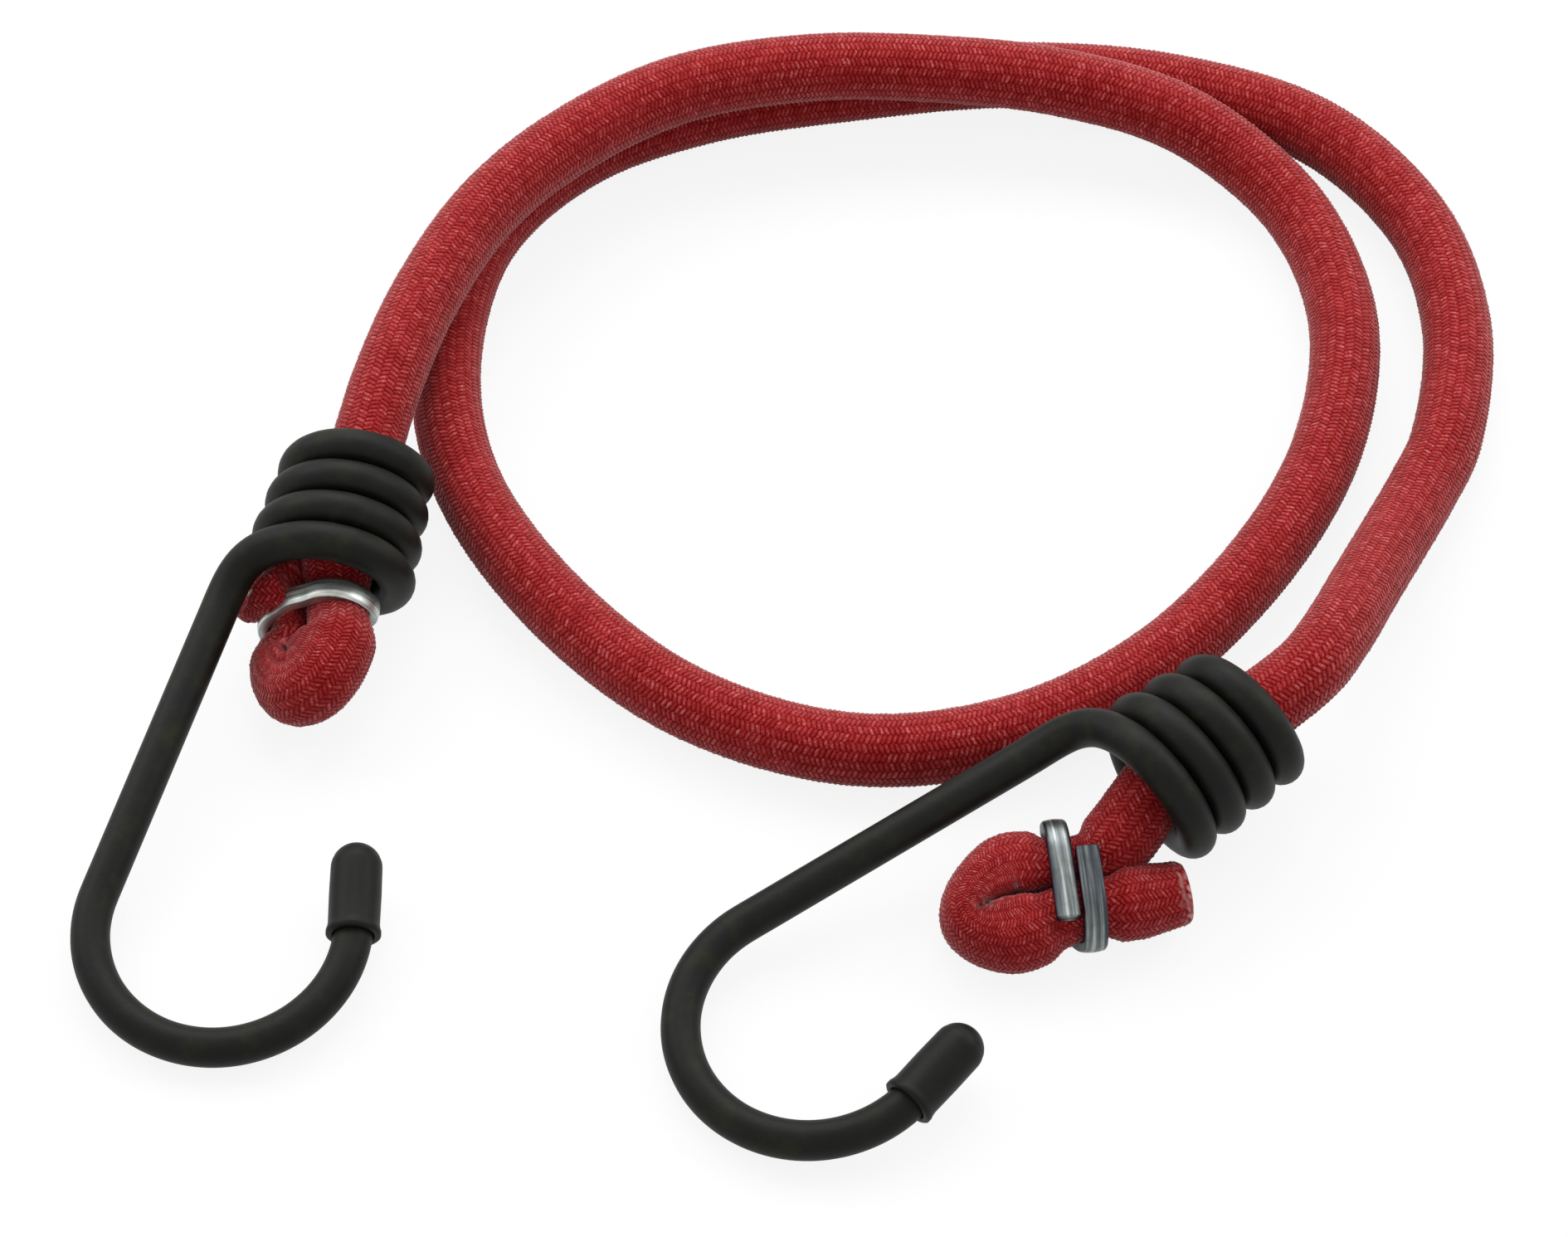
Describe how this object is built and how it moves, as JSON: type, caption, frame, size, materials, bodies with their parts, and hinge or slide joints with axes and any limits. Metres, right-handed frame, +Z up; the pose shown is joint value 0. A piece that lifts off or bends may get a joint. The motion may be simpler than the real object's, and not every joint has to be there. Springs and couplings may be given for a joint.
{
  "type": "bungee cord",
  "caption": "Braided elastic bungee cord lying in a loose loop, with a coiled, plastic-coated wire hook on each end held by a folded stop loop and a metal hog ring.",
  "frame": {"origin": "on the surface that the part lies on, under the middle of the box round the two hook ends", "axes": "+X along the longest side of that box, to the viewer's right; +Y away from the viewer; +Z up"},
  "size_m": [0.1566, 0.1541, 0.0195],
  "materials": {
    "braid": "matte woven polyester",
    "rubber": "matte natural rubber",
    "coated_wire": "matte plastic coat on steel",
    "vinyl": "satin soft vinyl",
    "zinc": "bright zinc plate"
  },
  "bodies": {
    "cord": {"cord_loop_sheath": "braid", "cord_loop_core": "rubber", "cord_lead_sheath": "braid", "cord_lead_core": "rubber", "left_end_sheath": "braid", "left_end_core": "rubber", "left_hog_ring": "zinc"},
    "left_hook": {"left_hook_wire": "coated_wire", "left_tip_cap": "vinyl"},
    "right_end": {"right_end_sheath": "braid", "right_end_core": "rubber", "right_hog_ring": "zinc"},
    "right_hook": {"right_hook_wire": "coated_wire", "right_tip_cap": "vinyl"}
  },
  "joints": [
    {"name": "left_hook_swivel", "type": "hinge", "parent": "cord", "child": "left_hook", "pos_m": [-0.041, 0.0245, 0.00915], "axis": [0.2064, 0.9708, 0.122], "range_deg": [-10, 50]},
    {"name": "cord_stretch", "type": "slide", "parent": "cord", "child": "right_end", "axis": [-0.809, -0.5878, 0], "range_m": [0, 0.04], "stiffness_N_per_m": 350, "deforming": ["cord_lead_sheath", "cord_lead_core"]},
    {"name": "right_hook_swivel", "type": "hinge", "parent": "right_end", "child": "right_hook", "pos_m": [0.0472, -0.0038, 0.00915], "axis": [0.803, 0.5834, 0.122], "range_deg": [-45, 125]}
  ]
}
